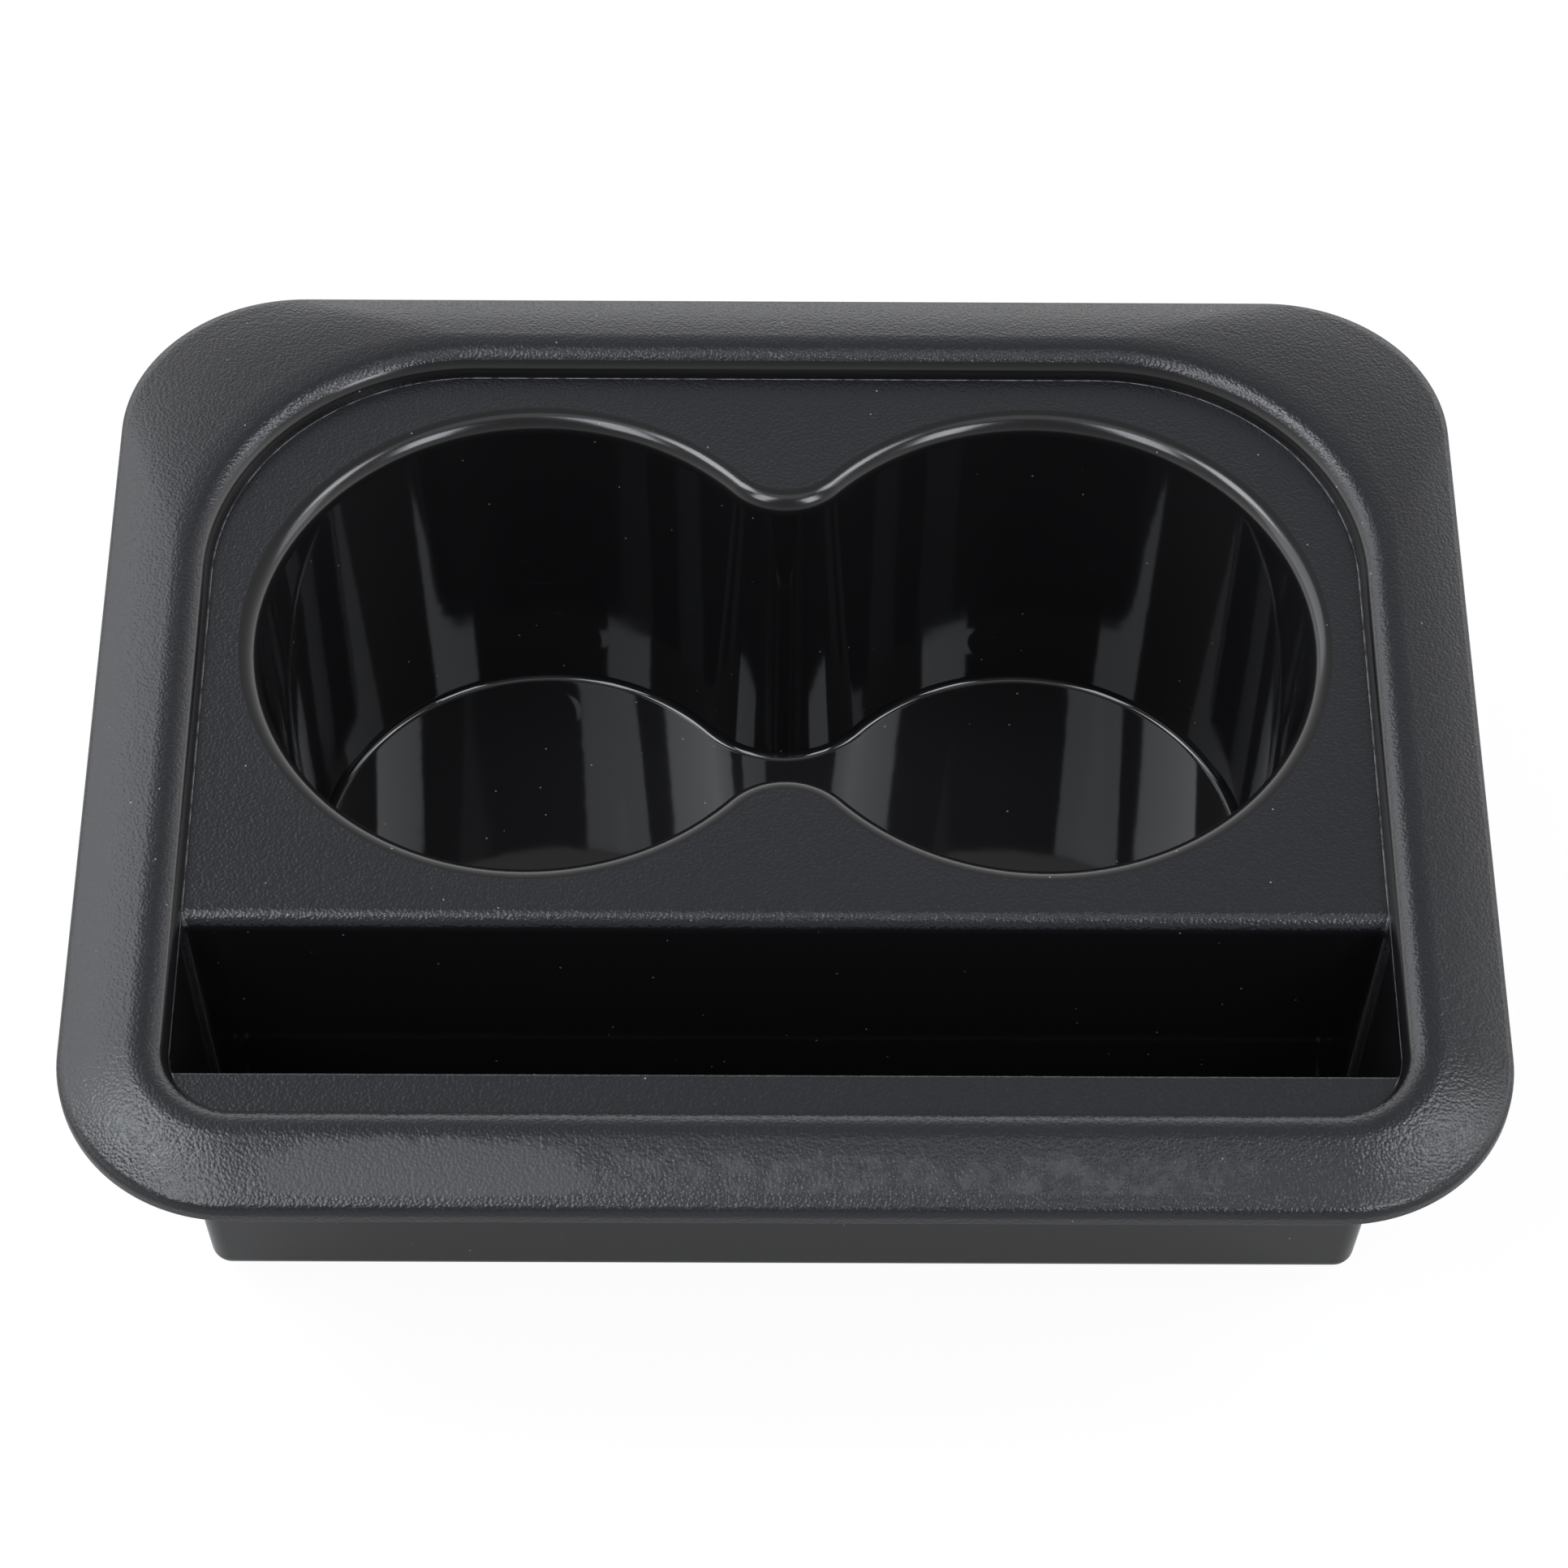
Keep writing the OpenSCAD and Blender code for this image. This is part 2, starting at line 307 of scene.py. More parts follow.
def specked(tree, place, colour):
    """The colour with dusty specks on it."""
    cells = add(
        tree, "ShaderNodeTexVoronoi",
        {"Vector": place, "Scale": 1 / (SPECK_SPACING * MM), "Randomness": 1.0},
    )
    reach = SPECK_R / SPECK_SPACING
    specks = add(
        tree, "ShaderNodeMapRange",
        {"Value": cells.outputs["Distance"], "From Min": reach, "From Max": reach / 2},
    )
    mixed = add(tree, "ShaderNodeMix", {0: specks, 6: colour, 7: linear(DUST_AND_HIGHLIGHT_GREY)}, data_type="RGBA")
    return mixed.outputs[2]


tree.links.new(specked(tree, place, with_dust_and_highlight.outputs[2]), shader.inputs["Base Color"])
print("grained material has", len(tree.nodes), "nodes")

# %% [markdown]
# The smooth plastic has no grain. What breaks its gloss is the faint waviness that the steel
# and the shrinking plastic leave, a hundredth of a millimetre or two over a centimetre. Two
# finishes come from it: the wells, the slot and the underside have a high polish, and the recess
# wall and the wells' mouth a satin one, as far as the toolmaker's stone reached.

# %% Polished and satin black polypropylene
WAVE_LENGTH = 9
WAVE_HEIGHT = 0.02
POLISHED_ROUGHNESS = 0.06
SATIN_ROUGHNESS = 0.17


def smooth_plastic(name, roughness):
    """Black plastic with no grain, as dull as its finish."""
    material, tree, shader = new_material(name)
    place = add(tree, "ShaderNodeTexCoord").outputs["Object"]
    waves = add(
        tree, "ShaderNodeTexNoise",
        {"Vector": place, "Scale": 1 / (WAVE_LENGTH * MM), "Detail": 2},
    )
    bump = add(
        tree, "ShaderNodeBump",
        {"Height": waves.outputs[0], "Distance": WAVE_HEIGHT * MM, "Strength": 1.0},
    )
    shader.inputs["Roughness"].default_value = roughness
    shader.inputs["IOR"].default_value = PLASTIC_IOR
    tree.links.new(specked(tree, place, linear(BLACK)), shader.inputs["Base Color"])
    tree.links.new(bump.outputs[0], shader.inputs["Normal"])
    return material


polished = smooth_plastic("polished_black_polypropylene", POLISHED_ROUGHNESS)
satin = smooth_plastic("satin_black_polypropylene", SATIN_ROUGHNESS)
print("materials:", grained.name, polished.name, satin.name)

# %% [markdown]
# The rolled rim is one section carried round a rounded rectangle: foot, wall, bead, crown,
# slope, lip, and back along the inside. It could be swept with Curve to Mesh, but at the rear
# the corner gets tighter from the crown to the lip, which a sweep can't do. So the section is
# drawn once as points of run, inset and height, and a node tree places a grid by the rule:
# each column is a station round the rim, each row a section point, and the corner's radius
# depends on the run.

# %% Section of the rim
def arc(centre, radius, start, end, steps):
    """Points on an arc, in order, the angles in radians from the first axis."""
    turns = [start + (end - start) * i / steps for i in range(steps + 1)]
    return [(centre[0] + radius * math.cos(t), centre[1] + radius * math.sin(t)) for t in turns]


top_turn = SLOPE - SLOPE_BEND
low_turn = SLOPE + SLOPE_BEND
slope_run = RIM_W - crown_run - CROWN_R * math.sin(top_turn) - LIP_R * (1 - math.sin(low_turn))
slope_r = slope_run / (math.sin(low_turn) - math.sin(top_turn))
crown_centre = (crown_run, crown_z - CROWN_R)
slope_centre = (
    crown_centre[0] - (slope_r - CROWN_R) * math.sin(top_turn),
    crown_centre[1] - (slope_r - CROWN_R) * math.cos(top_turn),
)
lip_centre = (
    slope_centre[0] + (slope_r - LIP_R) * math.sin(low_turn),
    slope_centre[1] + (slope_r - LIP_R) * math.cos(low_turn),
)
lip_z = lip_centre[1] - LIP_EDGE

BEAD_STEPS = 14
CROWN_STEPS = 5
SLOPE_STEPS = 5
LIP_STEPS = 8
SMALL_STEPS = 4
EDGE_STEPS = 2 * SMALL_STEPS


def bends(centre, radius, start, end, steps):
    """Stretch of the skin as (centre, radius, bend), a bend counted from upright."""
    return [(centre, radius, start + (end - start) * i / steps) for i in range(steps + 1)]


skin = (
    bends((BEAD_R, crown_z - BEAD_R), BEAD_R, -math.pi / 2, 0, BEAD_STEPS)
    + bends(crown_centre, CROWN_R, 0, top_turn, CROWN_STEPS)
    + bends(slope_centre, slope_r, top_turn, low_turn, SLOPE_STEPS)[1:-1]
    + bends(lip_centre, LIP_R, low_turn, math.pi / 2, LIP_STEPS)
)


def section_point(bend, thick):
    """A point at a depth below the skin, as (run, inset, height)."""
    centre, radius, turn = bend
    return (
        centre[0] + radius * math.sin(turn),
        thick * math.sin(turn),
        centre[1] + (radius - thick) * math.cos(turn),
    )


foot = arc((-FOOT_R, floor_z + FOOT_R), FOOT_R, -math.pi / 2, 0, SMALL_STEPS)
edge = arc((RIM_W - RIM_EDGE_R, lip_z + RIM_EDGE_R), RIM_EDGE_R, 0, -math.pi / 2, SMALL_STEPS)
section = (
    [(run, 0, height) for run, height in foot]
    + [section_point(bend, 0) for bend in skin]
    + [(run, 0, height) for run, height in edge]
    + [(RIM_W, WALL, lip_z)]
    + [section_point(bend, WALL) for bend in reversed(skin)]
    + [(0, -WALL, floor_z - WALL)]
)
# Rows up to the middle of the bead belong to the satin recess wall
satin_rows = len(foot) + BEAD_STEPS // 2
print(f"rim section of {len(section)} points, lower edge at {lip_z:.2f} mm")

# %% Node tree that carries the section round the rim
CORNER_STEPS = 32

rim_tree = bpy.data.node_groups.new("rolled_rim", "GeometryNodeTree")
rim_sizes = {
    "Recess half width": recess_x * MM,
    "Recess half depth": recess_y * MM,
    "Front corner radius": recess_front_r * MM,
    "Rear corner radius": RECESS_REAR_R * MM,
    "Lip corner radius": RIM_CORNER_R * MM,
    "Crown run": crown_run * MM,
    "Rim width": RIM_W * MM,
}
rim_counts = {"Section points": len(section), "Corner steps": CORNER_STEPS, "Satin rows": satin_rows}
rim_materials = {"Rim material": grained, "Wall material": satin}
rim_tree.interface.new_socket("Section", in_out="INPUT", socket_type="NodeSocketGeometry")
for names, kind in (
    (rim_sizes, "NodeSocketFloat"),
    (rim_counts, "NodeSocketInt"),
    (rim_materials, "NodeSocketMaterial"),
):
    for name in names:
        rim_tree.interface.new_socket(name, in_out="INPUT", socket_type=kind)
rim_tree.interface.new_socket("Rim", in_out="OUTPUT", socket_type="NodeSocketGeometry")

size = add(rim_tree, "NodeGroupInput").outputs

# Four corners of one more column than steps, and the first column once more to close the ring
columns = add(
    rim_tree, "ShaderNodeMath",
    {0: size["Corner steps"], 1: 4.0, 2: 5.0}, operation="MULTIPLY_ADD",
)
grid = add(
    rim_tree, "GeometryNodeMeshGrid",
    {"Vertices X": columns, "Vertices Y": size["Section points"]},
)

# Which section point and which station a vertex is
index = add(rim_tree, "GeometryNodeInputIndex")
row = add(rim_tree, "ShaderNodeMath", {0: index, 1: size["Section points"]}, operation="MODULO")
column = add(rim_tree, "ShaderNodeMath", {0: index, 1: size["Section points"]}, operation="DIVIDE")
column = add(rim_tree, "ShaderNodeMath", {0: column}, operation="FLOOR")
per_corner = add(rim_tree, "ShaderNodeMath", {0: size["Corner steps"], 1: 1.0}, operation="ADD")
corner = add(rim_tree, "ShaderNodeMath", {0: column, 1: per_corner}, operation="DIVIDE")
corner = add(rim_tree, "ShaderNodeMath", {0: corner}, operation="FLOOR")
corner = add(rim_tree, "ShaderNodeMath", {0: corner, 1: 4.0}, operation="MODULO")
step = add(rim_tree, "ShaderNodeMath", {0: column, 1: per_corner}, operation="MODULO")
step = add(rim_tree, "ShaderNodeMath", {0: step, 1: size["Corner steps"]}, operation="DIVIDE")
angle = add(rim_tree, "ShaderNodeMath", {0: corner, 1: step}, operation="ADD")
angle = add(rim_tree, "ShaderNodeMath", {0: angle, 1: math.pi / 2}, operation="MULTIPLY")

# Corners 0 and 1 are at the rear, 1 and 2 on the left
is_rear = add(rim_tree, "ShaderNodeMath", {0: corner, 1: 1.5}, operation="LESS_THAN")
sign_y = add(rim_tree, "ShaderNodeMath", {0: is_rear, 1: 2.0, 2: -1.0}, operation="MULTIPLY_ADD")
from_left = add(rim_tree, "ShaderNodeMath", {0: corner, 1: 1.5}, operation="SUBTRACT")
from_left = add(rim_tree, "ShaderNodeMath", {0: from_left}, operation="ABSOLUTE")
is_right = add(rim_tree, "ShaderNodeMath", {0: from_left, 1: 1.0}, operation="GREATER_THAN")
sign_x = add(rim_tree, "ShaderNodeMath", {0: is_right, 1: 2.0, 2: -1.0}, operation="MULTIPLY_ADD")

# The section point: how far out it runs, how far it is set in, and its height
drawn = add(
    rim_tree, "GeometryNodeSampleIndex",
    {"Geometry": size["Section"], "Index": row}, data_type="FLOAT_VECTOR",
)
rim_tree.links.new(add(rim_tree, "GeometryNodeInputPosition").outputs[0], drawn.inputs["Value"])
run, inset, height = add(rim_tree, "ShaderNodeSeparateXYZ", {0: drawn}).outputs

# Corner radius: parallel to the recess up to the crown, then easing to the lip's own
level_run = add(rim_tree, "ShaderNodeMath", {0: run, 1: size["Crown run"]}, operation="MINIMUM")
beyond = add(rim_tree, "ShaderNodeMath", {0: run, 1: level_run}, operation="SUBTRACT")
eased = add(
    rim_tree, "ShaderNodeMath",
    {0: size["Rim width"], 1: size["Crown run"]}, operation="SUBTRACT",
)
share = add(rim_tree, "ShaderNodeMath", {0: beyond, 1: eased}, operation="DIVIDE")
wide_r = add(
    rim_tree, "ShaderNodeMath", {0: size["Rear corner radius"], 1: level_run}, operation="ADD",
)
tighter = add(
    rim_tree, "ShaderNodeMath", {0: size["Lip corner radius"], 1: wide_r}, operation="SUBTRACT",
)
rear_r = add(rim_tree, "ShaderNodeMath", {0: tighter, 1: share, 2: wide_r}, operation="MULTIPLY_ADD")
front_r = add(
    rim_tree, "ShaderNodeMath", {0: size["Front corner radius"], 1: run}, operation="ADD",
)
gap = add(rim_tree, "ShaderNodeMath", {0: rear_r, 1: front_r}, operation="SUBTRACT")
radius = add(rim_tree, "ShaderNodeMath", {0: gap, 1: is_rear, 2: front_r}, operation="MULTIPLY_ADD")
bend_r = add(rim_tree, "ShaderNodeMath", {0: radius, 1: inset}, operation="SUBTRACT")
straight = add(rim_tree, "ShaderNodeMath", {0: run, 1: radius}, operation="SUBTRACT")

# Corner centre plus the turned radius, on each axis
places = []
for half, sign, wave in (
    ("Recess half width", sign_x, "COSINE"),
    ("Recess half depth", sign_y, "SINE"),
):
    centre = add(rim_tree, "ShaderNodeMath", {0: size[half], 1: straight}, operation="ADD")
    centre = add(rim_tree, "ShaderNodeMath", {0: centre, 1: sign}, operation="MULTIPLY")
    turned = add(rim_tree, "ShaderNodeMath", {0: angle}, operation=wave)
    along = add(
        rim_tree, "ShaderNodeMath", {0: turned, 1: bend_r, 2: centre}, operation="MULTIPLY_ADD",
    )
    places.append(along)
position = add(rim_tree, "ShaderNodeCombineXYZ", {0: places[0], 1: places[1], 2: height})
placed = add(rim_tree, "GeometryNodeSetPosition", {"Geometry": grid, "Position": position})
realized = add(rim_tree, "GeometryNodeRealizeInstances", {0: placed})
painted = add(
    rim_tree, "GeometryNodeSetMaterial",
    {"Geometry": realized, "Material": size["Rim material"]},
)

# Faces are chosen by the rows of their points, so the row is read on the points
point_row = add(
    rim_tree, "GeometryNodeFieldOnDomain", {"Value": row}, domain="POINT", data_type="FLOAT",
)
is_wall = add(
    rim_tree, "ShaderNodeMath", {0: point_row, 1: size["Satin rows"]}, operation="LESS_THAN",
)
painted = add(
    rim_tree, "GeometryNodeSetMaterial",
    {"Geometry": painted, "Selection": is_wall, "Material": size["Wall material"]},
)
add(rim_tree, "NodeGroupOutput", {0: painted})
print("rim tree has", len(rim_tree.nodes), "nodes")


# %% Make the rim
def plain_mesh(start, tree, inputs):
    """The mesh that a node tree makes of a start mesh, its inputs set by their identifiers."""
    holder = bpy.data.objects.new(tree.name, start)
    bpy.context.scene.collection.objects.link(holder)
    modifier = holder.modifiers.new(tree.name, "NODES")
    modifier.node_group = tree
    items = tree.interface.items_tree
    sockets = {item.name: item.identifier for item in items if item.in_out == "INPUT"}
    for name, value in inputs.items():
        modifier[sockets[name]] = value
    graph = bpy.context.evaluated_depsgraph_get()
    mesh = bpy.data.meshes.new_from_object(holder.evaluated_get(graph), depsgraph=graph)
    bpy.data.objects.remove(holder)
    return mesh


section_mesh = bpy.data.meshes.new("rim_section")
section_mesh.from_pydata([[value * MM for value in point] for point in section], [], [])
rim_mesh = plain_mesh(section_mesh, rim_tree, rim_sizes | rim_counts | rim_materials)
print(f"rim of {len(rim_mesh.polygons)} faces")

# %% [markdown]
# The two wells are one hollow. From above, its outline is four arcs: two round wells, and two
# noses between them that curve the other way. A well's radius and a nose's add up to the same
# reach at every height, so the drafted walls run into each other without a crease. The mesh is
# a stack of such outlines, each a little smaller than the one above it.

# %% Dimensions of the wells
WELL_PITCH = 74.0
WELL_MOUTH_D = 80.1
WELL_FLOOR_D = 70.6
WELL_DEPTH = 58.5
WELL_SETBACK = 48.6
NECK_R = 8.8
MOUTH_EDGE_R = 3.0
WELL_FILLET_R = 1.2
WELL_STEPS = 128
NOSE_STEPS = 41
MOUTH_STEPS = 3 * SMALL_STEPS

well_x = WELL_PITCH / 2
well_y = recess_y - WELL_SETBACK
well_draft = math.atan((WELL_MOUTH_D - WELL_FLOOR_D) / 2 / WELL_DEPTH)


def edge_run(edge_r, draft):
    """Run from a drafted wall to where its rounded top edge ends."""
    return edge_r * (1 - math.sin(draft)) / math.cos(draft)


reach = WELL_MOUTH_D / 2 + edge_run(MOUTH_EDGE_R, well_draft) + NECK_R
nose_y = math.sqrt(reach ** 2 - well_x ** 2)
nose_turn = math.atan2(nose_y, well_x)
print(f"wells at x = {well_x:.1f}, y = {well_y:.1f} mm, draft {math.degrees(well_draft):.1f} degrees")


# %% Outlines of the double well
def well_outline(radius, height):
    """The double well's outline where a well's wall has this radius."""
    nose_r = reach - radius
    far = math.pi - nose_turn
    flat = (
        arc((well_x, 0), radius, -far, far, WELL_STEPS)
        + arc((0, nose_y), nose_r, -nose_turn, -far, NOSE_STEPS)[1:-1]
        + arc((-well_x, 0), radius, nose_turn, 2 * math.pi - nose_turn, WELL_STEPS)
        + arc((0, -nose_y), nose_r, far, nose_turn, NOSE_STEPS)[1:-1]
    )
    return [(x, well_y + y, height) for x, y in flat]


def well_line(thick):
    """The wall as (radius, height) from top to floor, at a thickness outside its inner face."""
    side = thick / math.cos(well_draft)
    fillet_r = WELL_FILLET_R + thick
    floor_r = WELL_FLOOR_D / 2 + side - thick * math.tan(well_draft)
    fillet_centre = (floor_r - edge_run(fillet_r, well_draft), WALL - thick + fillet_r)
    fillet = arc(fillet_centre, fillet_r, -well_draft, -math.pi / 2, EDGE_STEPS)
    if thick:
        top = floor_z - WALL
        slope = math.tan(well_draft)
        return [(WELL_FLOOR_D / 2 + side + (top - WALL) * slope, top)] + fillet
    mouth_centre = (WELL_MOUTH_D / 2 + edge_run(MOUTH_EDGE_R, well_draft), floor_z - MOUTH_EDGE_R)
    return arc(mouth_centre, MOUTH_EDGE_R, math.pi / 2, math.pi - well_draft, MOUTH_STEPS) + fillet


mouth_levels = MOUTH_STEPS + 1
well_inside = [well_outline(radius, height) for radius, height in well_line(0)]
well_outside = [well_outline(radius, height) for radius, height in well_line(WALL)]
print(f"double well of {len(well_inside)} outlines inside and {len(well_outside)} outside")

# %% [markdown]
# A pin pushed the moulding out of the tool at the back of each well, and left a round mark in
# its floor, two or three hundredths of a millimetre deep with a soft edge.

# %% Marks of the ejector pins
PIN_MARK_R = 4.9
PIN_MARK_EDGE = 1.2
PIN_MARK_DEPTH = 0.025
PIN_SETBACK = 28.0
PIN_STEPS = 96


def pin_mark(side):
    """Outlines of one mark, from its rim down to its flat."""
    outlines = []
    for step in range(EDGE_STEPS + 1):
        share = step / EDGE_STEPS
        height = WALL - PIN_MARK_DEPTH * (1 - math.cos(math.pi * share)) / 2
        centre = (side * well_x, well_y + PIN_SETBACK)
        circle = arc(centre, PIN_MARK_R - PIN_MARK_EDGE * share, 0, 2 * math.pi, PIN_STEPS)[:-1]
        outlines.append([(x, y, height) for x, y in circle])
    return outlines


pin_marks = [pin_mark(-1), pin_mark(1)]
print(f"pin marks {2 * PIN_MARK_R:.1f} mm across")

# %% [markdown]
# The slot is a drafted box. Its rear top edge is well rounded, its front one nearly sharp, so an
# outline near the top isn't level: its rear side follows one radius and its front side another,
# and the ends join them.

# %% Dimensions and outlines of the slot
SLOT_D = 24.5
SLOT_DEPTH = 55.3
LEDGE_D = 7.0
SLOT_DRAFT = math.radians(2.5)
SLOT_CORNER_R = 1.4
SLOT_BASE_R = 1.2
SLOT_REAR_EDGE_R = 2.6
SLOT_FRONT_EDGE_R = 0.6
SLOT_END_GAP = 0.06
SLOT_TOP_SHARE = 0.02
SLOT_LEAST_R = 0.05

slot_x = recess_x - SLOT_END_GAP
slot_front_y = -recess_y + LEDGE_D
slot_rear_y = slot_front_y + SLOT_D


def slot_outline(rear, front, corner_r, inset=0.0):
    """The slot's outline: rear and front are (run out, depth), and a side's depth sets its draft."""
    ends = []
    for run, depth, y, side in ((*rear, slot_rear_y, 1), (*front, slot_front_y, -1)):
        half_x = slot_x - depth * math.tan(SLOT_DRAFT) - inset
        ends.append((half_x, y + side * (run - inset), floor_z - depth))
    (rear_x, rear_y, rear_z), (front_x, front_y, front_z) = ends
    points = []
    for x, y, z, start in (
        (rear_x, rear_y, rear_z, 0), (-rear_x, rear_y, rear_z, 1),
        (-front_x, front_y, front_z, 2), (front_x, front_y, front_z, 3),
    ):
        centre = (x - math.copysign(corner_r, x), y - corner_r if start < 2 else y + corner_r)
        turns = arc(centre, corner_r, start * math.pi / 2, (start + 1) * math.pi / 2, EDGE_STEPS)
        points += [(px, py, z) for px, py in turns]
    return points


def slot_levels(thick):
    """The slot's outlines from top to floor, at a thickness outside its inner face."""
    outlines = []
    base_r = SLOT_BASE_R + thick
    deep = SLOT_DEPTH + thick
    if thick:
        top_run = -WALL * math.tan(SLOT_DRAFT)
        outlines.append(slot_outline((top_run, WALL), (top_run, WALL), SLOT_CORNER_R + thick, -thick))
    else:
        for step in range(EDGE_STEPS + 1):
            turn = (math.pi / 2 - SLOT_DRAFT) * step / EDGE_STEPS
            sides = [
                (edge_run(edge_r, SLOT_DRAFT) - edge_r * math.sin(turn), edge_r * (1 - math.cos(turn)))
                for edge_r in (SLOT_REAR_EDGE_R, SLOT_FRONT_EDGE_R)
            ]
            corner_r = SLOT_CORNER_R * (SLOT_TOP_SHARE + (1 - SLOT_TOP_SHARE) * step / EDGE_STEPS)
            outlines.append(slot_outline(*sides, corner_r))
    for step in range(EDGE_STEPS + 1):
        turn = math.pi / 2 * step / EDGE_STEPS
        depth = deep - base_r * (1 - math.sin(turn))
        inset = base_r * (1 - math.cos(turn))
        side = (-depth * math.tan(SLOT_DRAFT), depth)
        corner_r = max(SLOT_CORNER_R + thick - inset, SLOT_LEAST_R)
        outlines.append(slot_outline(side, side, corner_r, inset - thick))
    return outlines


# The grain covers the rounded top edge, all but its last two steps
slot_edge_levels = EDGE_STEPS - 1
slot_inside = slot_levels(0)
slot_outside = slot_levels(WALL)
print(f"slot {2 * slot_x:.1f} x {SLOT_D:.1f} mm, {len(slot_inside)} outlines inside")

# %% [markdown]
# Now the pieces of skin become one closed shell: the stacked outlines are joined by strips of
# faces, the floors are filled, and the recess floor is filled with the wells' mouth and the
# slot's as holes. The same is done for the underside, a wall's thickness lower. Everything
# meets at shared points, so merging them closes the shell.

# %% Build the shell
MERGE_REACH = 0.002
FLAT_REACH = 0.001

finishes = [grained, polished, satin]
GRAINED, POLISHED, SATIN = range(len(finishes))
shell = bmesh.new()
shell.from_mesh(rim_mesh)
for face in shell.faces:
    face.material_index = finishes.index(rim_mesh.materials[face.material_index])


def corners(outline):
    """Vertices at the points of an outline."""
    return [shell.verts.new([value * MM for value in point]) for point in outline]


def strip(outlines, material):
    """Joins stacked outlines with quads."""
    rings = [corners(outline) for outline in outlines]
    for above, below in zip(rings, rings[1:]):
        for k in range(len(above)):
            after = (k + 1) % len(above)
            shell.faces.new((above[k], above[after], below[after], below[k])).material_index = material


def fill(outlines, material):
    """Fills a flat outline, with any further outlines as its holes."""
    points = [point for outline in outlines for point in outline]
    made = corners(points)
    for triangle in tessellate_polygon([[Vector(p[:2]) for p in outline] for outline in outlines]):
        shell.faces.new([made[k] for k in triangle]).material_index = material


def recess_outline(run, height):
    """The recess's outline let out by a run, as the rim's node tree places it."""
    points = []
    for number, (sign_x, sign_y, radius) in enumerate((
        (1, 1, RECESS_REAR_R),
        (-1, 1, RECESS_REAR_R),
        (-1, -1, recess_front_r),
        (1, -1, recess_front_r),
    )):
        centre = (sign_x * (recess_x - radius), sign_y * (recess_y - radius))
        start = number * math.pi / 2
        points += arc(centre, radius + run, start, start + math.pi / 2, CORNER_STEPS)
    return [(x, y, height) for x, y in points]


strip(well_inside[:mouth_levels], SATIN)
strip(well_inside[mouth_levels - 1:], POLISHED)
fill([well_inside[-1]] + [mark[0] for mark in pin_marks], POLISHED)
for mark in pin_marks:
    strip(mark, POLISHED)
    fill([mark[-1]], POLISHED)
strip(well_outside, POLISHED)
fill([well_outside[-1]], POLISHED)
strip(slot_inside[:slot_edge_levels], GRAINED)
strip(slot_inside[slot_edge_levels - 1:], POLISHED)
fill([slot_inside[-1]], POLISHED)
strip(slot_outside, POLISHED)
fill([slot_outside[-1]], POLISHED)
fill([recess_outline(-FOOT_R, floor_z), well_inside[0], slot_inside[0]], GRAINED)
fill([recess_outline(WALL, floor_z - WALL), well_outside[0], slot_outside[0]], POLISHED)
bmesh.ops.remove_doubles(shell, verts=shell.verts, dist=MERGE_REACH * MM)
bmesh.ops.dissolve_degenerate(shell, edges=shell.edges, dist=FLAT_REACH * MM)
bmesh.ops.recalc_face_normals(shell, faces=shell.faces)
open_edges = [edge for edge in shell.edges if not edge.is_manifold]
for face in shell.faces:
    face.smooth = True
print(f"shell of {len(shell.faces)} faces, {len(open_edges)} open edges, "
      f"{shell.calc_volume() / MM ** 3 / 1000:.1f} cm3 of plastic")

# %% Make the tray
tray_mesh = bpy.data.meshes.new("moulded_tray")
for finish in finishes:
    tray_mesh.materials.append(finish)
shell.to_mesh(tray_mesh)
shell.free()
tray = bpy.data.objects.new("moulded_tray", tray_mesh)
bpy.context.scene.collection.objects.link(tray)
shading = tray.modifiers.new("even_shading", "WEIGHTED_NORMAL")
shading.mode = "FACE_AREA"
shading.weight = 100
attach(tray, "root")
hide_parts("cup_holder_tray")
print(f"{tray.name}: {len(tray_mesh.polygons)} faces in {len(finishes)} finishes")

# %% [markdown]
# The tray stands on a plain white floor, as on a studio sweep. The floor looks white to the
# camera, and mixes in a little of its lit surface, so that the tray's shadow still shows. The
# plastic mirrors it as a dim grey, because what faces the floor stays dark in the photograph.

# %% Floor
FLOOR_SIZE = 4.0
FLOOR_WHITE = "#f4f4f4"
FLOOR_ROUGHNESS = 0.9
SHADOW_SHARE = 0.06
MIRRORED_SHARE = 0.7
MIRRORED_GREY = 0.35

floor_paint, tree, shader = new_material("studio_floor")
shader.inputs["Base Color"].default_value = linear(FLOOR_WHITE)
shader.inputs["Roughness"].default_value = FLOOR_ROUGHNESS
ray = add(tree, "ShaderNodeLightPath").outputs
strength = add(
    tree, "ShaderNodeMapRange",
    {"Value": ray["Is Camera Ray"], "To Min": MIRRORED_GREY, "To Max": 1.0},
)
glow = add(tree, "ShaderNodeEmission", {"Color": (1, 1, 1, 1), "Strength": strength})
mirrored = add(
    tree, "ShaderNodeMath", {0: ray["Is Glossy Ray"], 1: MIRRORED_SHARE}, operation="MULTIPLY",
)
glow_share = add(
    tree, "ShaderNodeMath", {0: ray["Is Camera Ray"], 1: 1 - SHADOW_SHARE, 2: mirrored},
    operation="MULTIPLY_ADD",
)
mixed = add(tree, "ShaderNodeMixShader", {0: glow_share, 1: shader, 2: glow})
output = next(node for node in tree.nodes if node.type == "OUTPUT_MATERIAL")
tree.links.new(mixed.outputs[0], output.inputs["Surface"])

floor_mesh = bpy.data.meshes.new("floor")
half = FLOOR_SIZE / 2
floor_corners = [(-half, -half, 0), (half, -half, 0), (half, half, 0), (-half, half, 0)]
floor_mesh.from_pydata(floor_corners, [], [(0, 1, 2, 3)])
floor_mesh.materials.append(floor_paint)
floor = bpy.data.objects.new("floor", floor_mesh)
bpy.context.scene.collection.objects.link(floor)
print(f"floor {FLOOR_SIZE:.0f} m square")

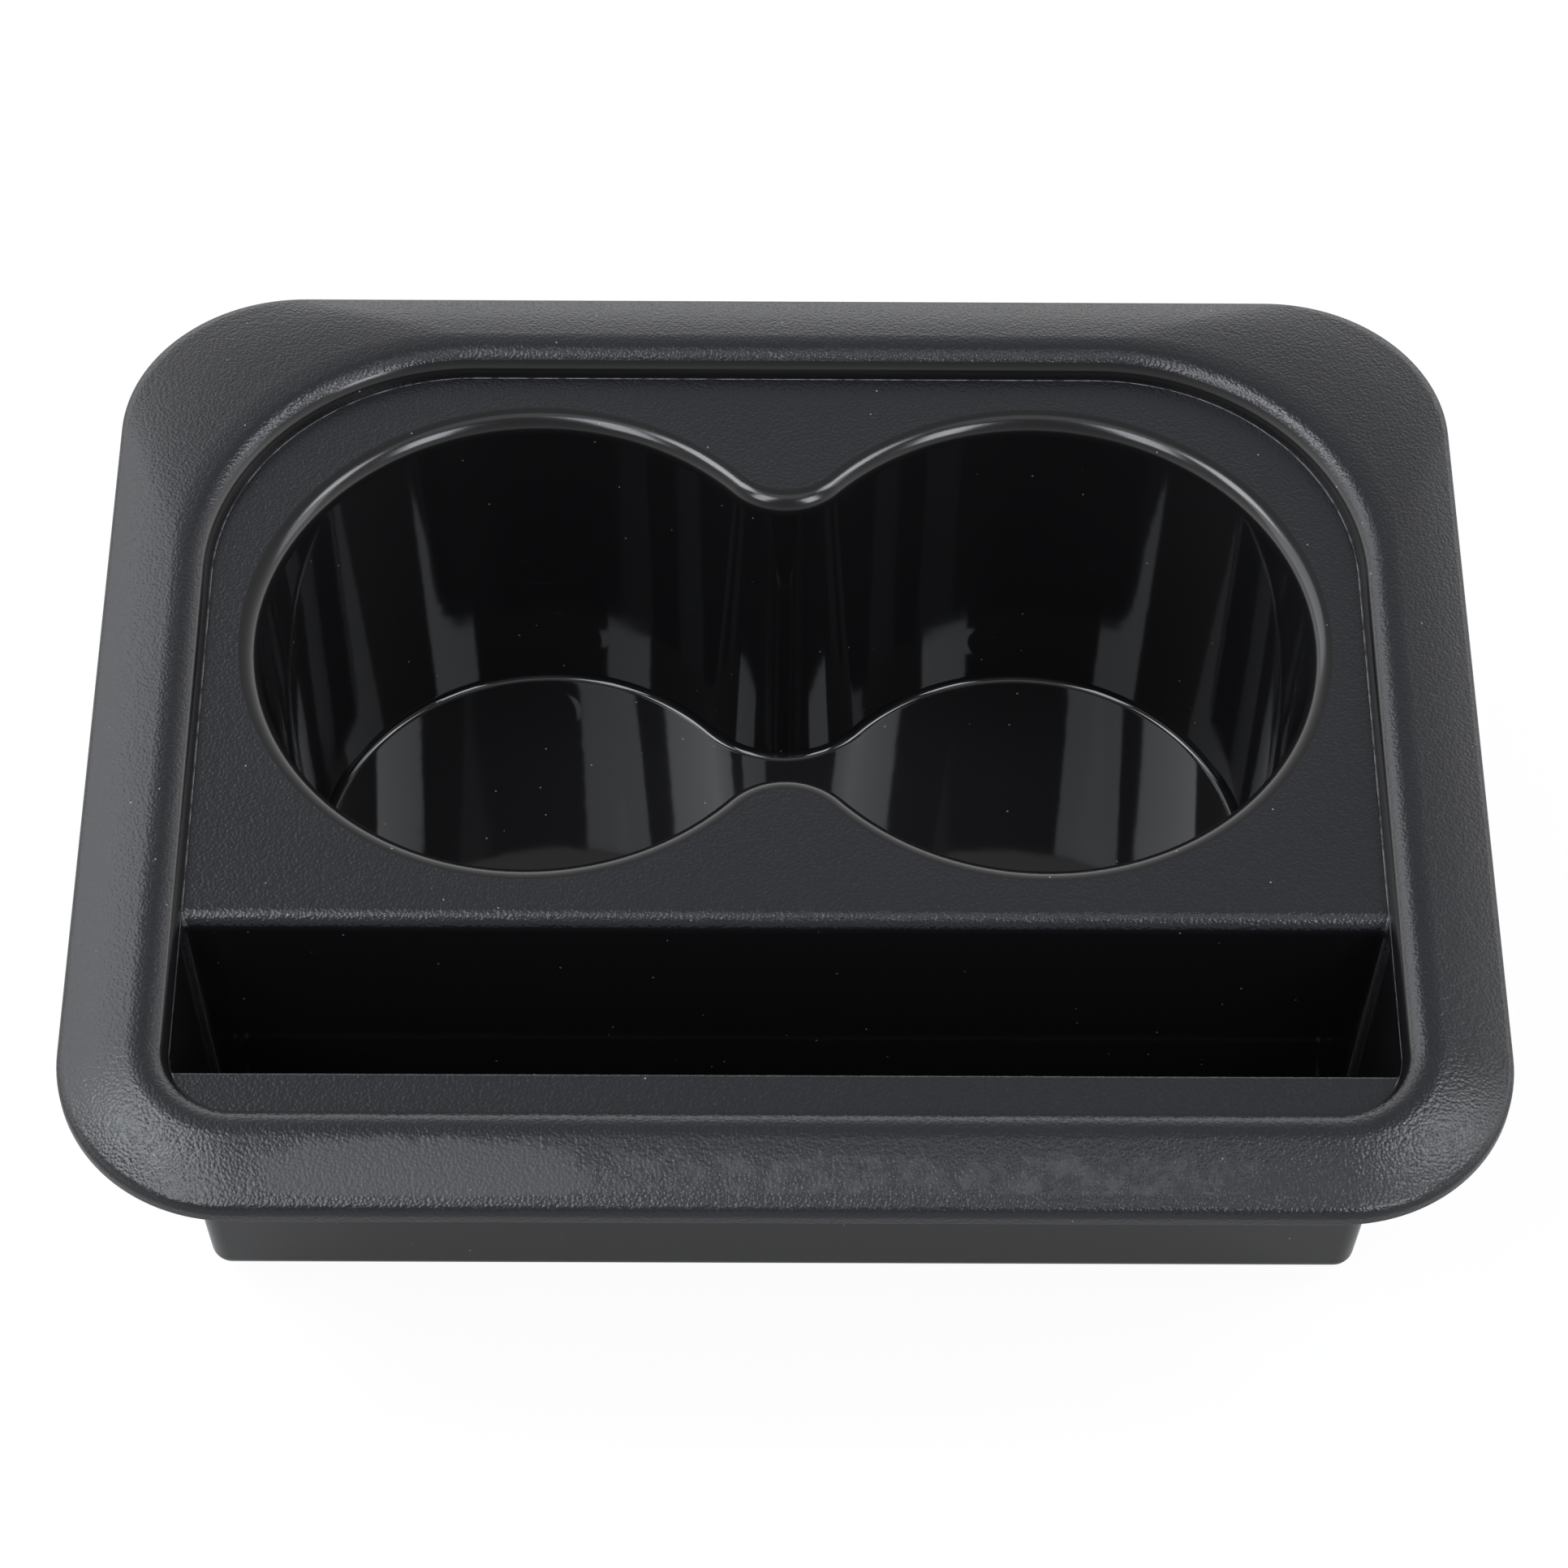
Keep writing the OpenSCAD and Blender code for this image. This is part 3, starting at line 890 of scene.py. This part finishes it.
# %% [markdown]
# Black plastic shows its form by what it mirrors, so each lamp is placed by the reflection that
# it makes. A wide box behind on the left gives the left slopes of the rim their grey sheen, and
# a dimmer one on the right answers it. Two tall boxes in front, left and right, are mirrored as
# upright strips in the polished wells and as the bright arcs on their mouths. Two small high
# boxes at the sides make the bright front corners, and one overhead lights the front of the rim.

# %% Lights
LAMP_COLOUR = (0.92, 0.95, 1.0)
LAMP_DISTANCE = 1.5


def soft_box(name, azimuth, elevation, width, height, watts):
    """A lamp aimed at the tray; azimuth 0 is in front, 90 on the right."""
    data = bpy.data.lights.new(name, "AREA")
    data.shape = "RECTANGLE"
    data.size = width
    data.size_y = height
    data.energy = watts
    data.color = LAMP_COLOUR
    lamp = bpy.data.objects.new(name, data)
    bpy.context.scene.collection.objects.link(lamp)
    around = Matrix.Rotation(math.radians(azimuth), 4, "Z")
    tilt = Matrix.Rotation(math.radians(90 - elevation), 4, "X")
    aim = Matrix.Translation((0, 0, floor_z * MM))
    lamp.matrix_world = aim @ around @ tilt @ Matrix.Translation((0, 0, LAMP_DISTANCE))


soft_box("left_box", -118, 39, 1.2, 0.9, 8)
soft_box("right_box", 97, 42, 0.5, 0.9, 4)
soft_box("front_left_box", -42, 56, 0.4, 0.8, 8)
soft_box("front_right_box", 40, 44, 0.4, 0.7, 8)
soft_box("left_high_box", -96, 60, 0.5, 0.5, 8)
soft_box("right_high_box", 94, 59, 0.4, 0.4, 4)
soft_box("top_box", 0, 82, 1.0, 0.6, 1.6)
print("lamps:", len(bpy.data.lights))

# %% [markdown]
# The rest of the light is the room. It is plain white to the camera. What the plastic mirrors
# is bright near the horizon, dimmer overhead, and darkest in front of the tray, on the
# photographer's side. The world follows the direction of the ray, so the tray mirrors the same
# room from every view.

# %% World
OVERHEAD = 0.36
HORIZON = 2.4
FRONT_SHARE = 0.35
FRONT_REACH = -0.9
DIFFUSE_SHARE = 0.8

world = bpy.data.worlds.new("studio")
world.use_nodes = True
tree = world.node_tree
tree.nodes.clear()
ray = add(tree, "ShaderNodeLightPath").outputs
direction = add(tree, "ShaderNodeTexCoord").outputs["Generated"]
direction = add(tree, "ShaderNodeSeparateXYZ", {0: direction}).outputs
fall = add(tree, "ShaderNodeMath", {0: 1.0, 1: direction["Z"]}, operation="SUBTRACT")
fall = add(tree, "ShaderNodeMath", {0: fall, 1: 2.0}, operation="POWER")
room = add(tree, "ShaderNodeMath", {0: fall, 1: HORIZON, 2: OVERHEAD}, operation="MULTIPLY_ADD")
side = add(
    tree, "ShaderNodeMapRange",
    {
        "Value": direction["Y"],
        "From Min": FRONT_REACH, "From Max": 0.0, "To Min": FRONT_SHARE, "To Max": 1.0,
    },
)
room = add(tree, "ShaderNodeMath", {0: room, 1: side}, operation="MULTIPLY")
dimmed = add(
    tree, "ShaderNodeMath",
    {0: ray["Is Diffuse Ray"], 1: DIFFUSE_SHARE - 1, 2: 1.0}, operation="MULTIPLY_ADD",
)
room = add(tree, "ShaderNodeMath", {0: room, 1: dimmed}, operation="MULTIPLY")
strength = add(tree, "ShaderNodeMix", {0: ray["Is Camera Ray"], 2: room, 3: 1.0})
background = add(tree, "ShaderNodeBackground", {"Color": (1, 1, 1, 1), "Strength": strength})
add(tree, "ShaderNodeOutputWorld", {"Surface": background})
bpy.context.scene.world = world
bpy.context.scene.view_settings.view_transform = "Standard"
print("world has", len(tree.nodes), "nodes")
